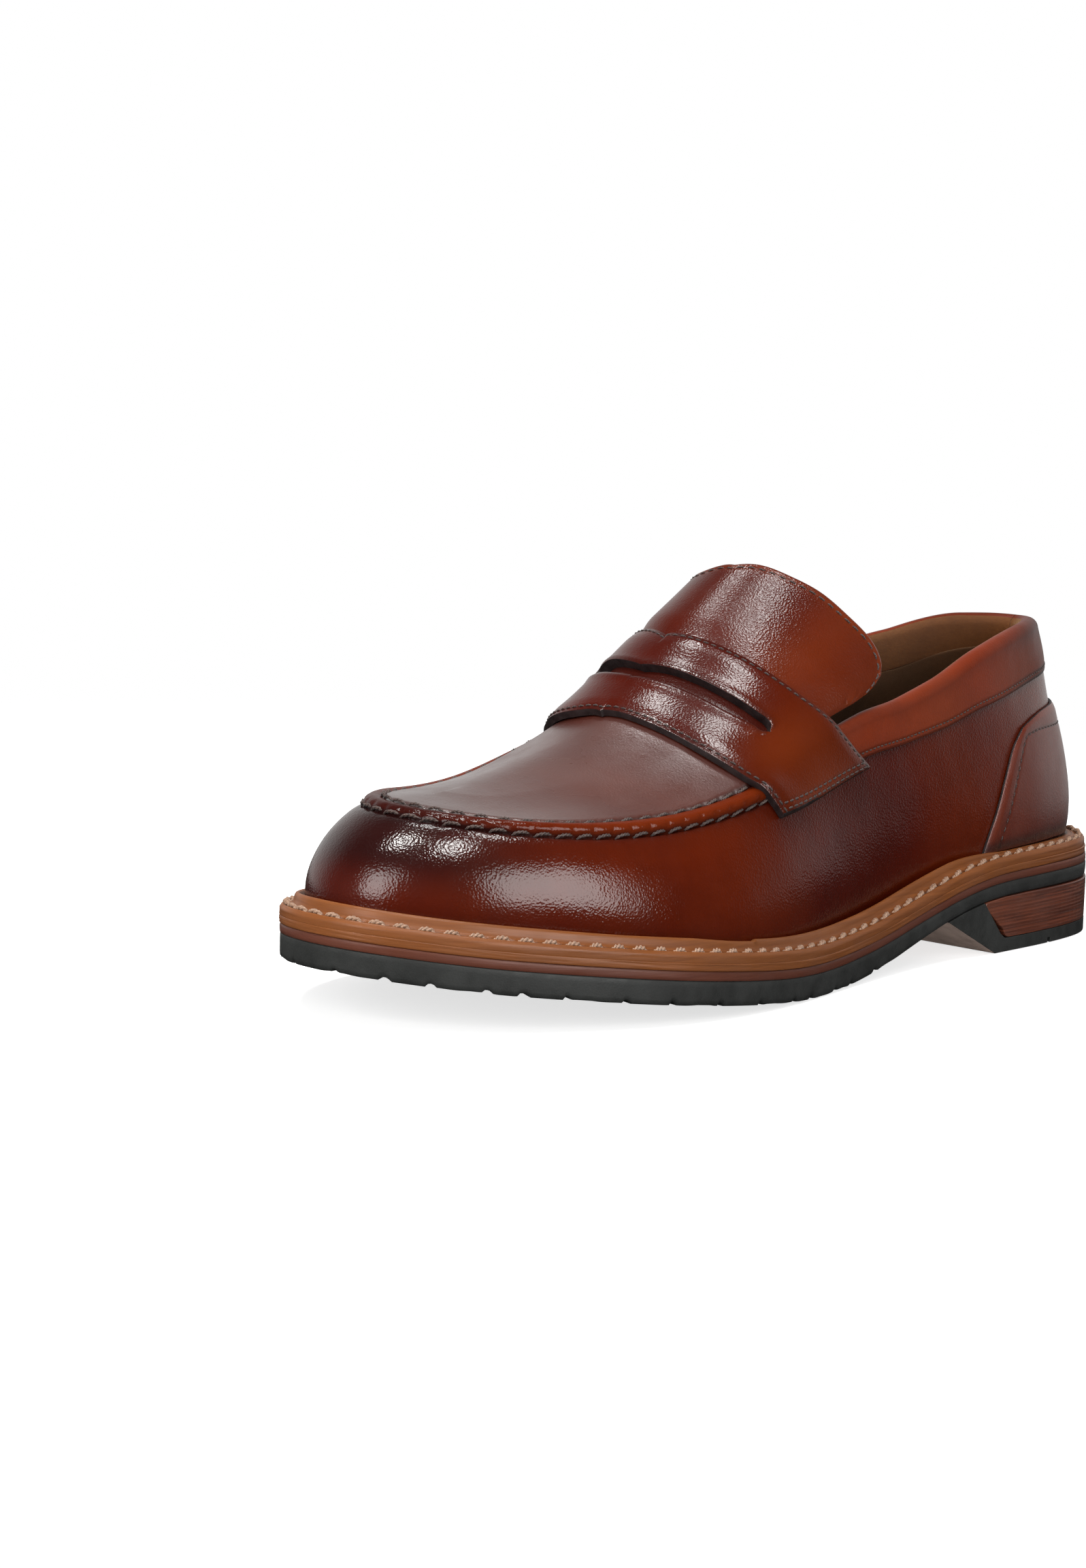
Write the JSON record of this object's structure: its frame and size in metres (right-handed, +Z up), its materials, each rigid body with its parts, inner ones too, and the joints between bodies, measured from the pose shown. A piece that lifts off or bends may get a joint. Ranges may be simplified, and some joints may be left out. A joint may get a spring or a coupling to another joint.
{
  "type": "penny loafer",
  "caption": "Left penny loafer with a hand-sewn look apron, slotted saddle strap, lipped welt, layered midsole and block heel; the tongue lifts to let the foot in.",
  "frame": {"origin": "on the ground under the middle of the overall bounding box", "axes": "-Y towards the toe, +X the outer (lateral) side of a left foot, +Z up"},
  "size_m": [0.1075, 0.3019, 0.1109],
  "materials": {
    "cognac_leather": "polished, burnished darker towards the toe",
    "apron_leather": "satin",
    "tan_lining": "matte, suede-like",
    "honey_edge": "waxed edge",
    "red_midsole": "waxed edge",
    "black_rubber": "matte",
    "heel_stack": "stacked-leather look, satin",
    "dark_thread": "waxed",
    "pale_thread": "waxed",
    "board": "fibreboard",
    "cork": "granular",
    "foam": "open-cell foam",
    "steel": "spring steel"
  },
  "bodies": {
    "shoe": {"vamp_wall": "cognac_leather", "strap": "cognac_leather", "heel_foxing": "cognac_leather", "collar_lateral": "cognac_leather", "collar_medial": "cognac_leather", "apron": "apron_leather", "quarter_lining_lateral": "tan_lining", "quarter_lining_medial": "tan_lining", "heel_grip": "tan_lining", "vamp_lining": "tan_lining", "sock_liner": "tan_lining", "welt": "honey_edge", "midsole_honey": "honey_edge", "midsole_red": "red_midsole", "outsole": "black_rubber", "top_lift": "black_rubber", "heel_block": "heel_stack", "moc_stitch_vamp": "dark_thread", "moc_stitch_apron": "dark_thread", "strap_stitch_rear": "dark_thread", "strap_stitch_front": "dark_thread", "strap_end_stitch_lateral": "dark_thread", "strap_end_stitch_medial": "dark_thread", "collar_stitch_lateral": "dark_thread", "collar_stitch_medial": "dark_thread", "foxing_stitch": "dark_thread", "back_seam_stitch": "dark_thread", "welt_stitch": "pale_thread", "insole_board": "board", "toe_puff": "board", "heel_counter": "board", "forepart_filler": "cork", "collar_padding_lateral": "foam", "collar_padding_medial": "foam", "shank": "steel"},
    "tongue_flap": {"tongue": "cognac_leather", "tongue_lining": "tan_lining", "tongue_stitch": "dark_thread"}
  },
  "joints": [
    {"name": "tongue_lift", "type": "hinge", "parent": "shoe", "child": "tongue_flap", "pos_m": [-0.0085, -0.0155, 0.0915], "axis": [1, 0, 0], "range_deg": [0, 24]}
  ]
}
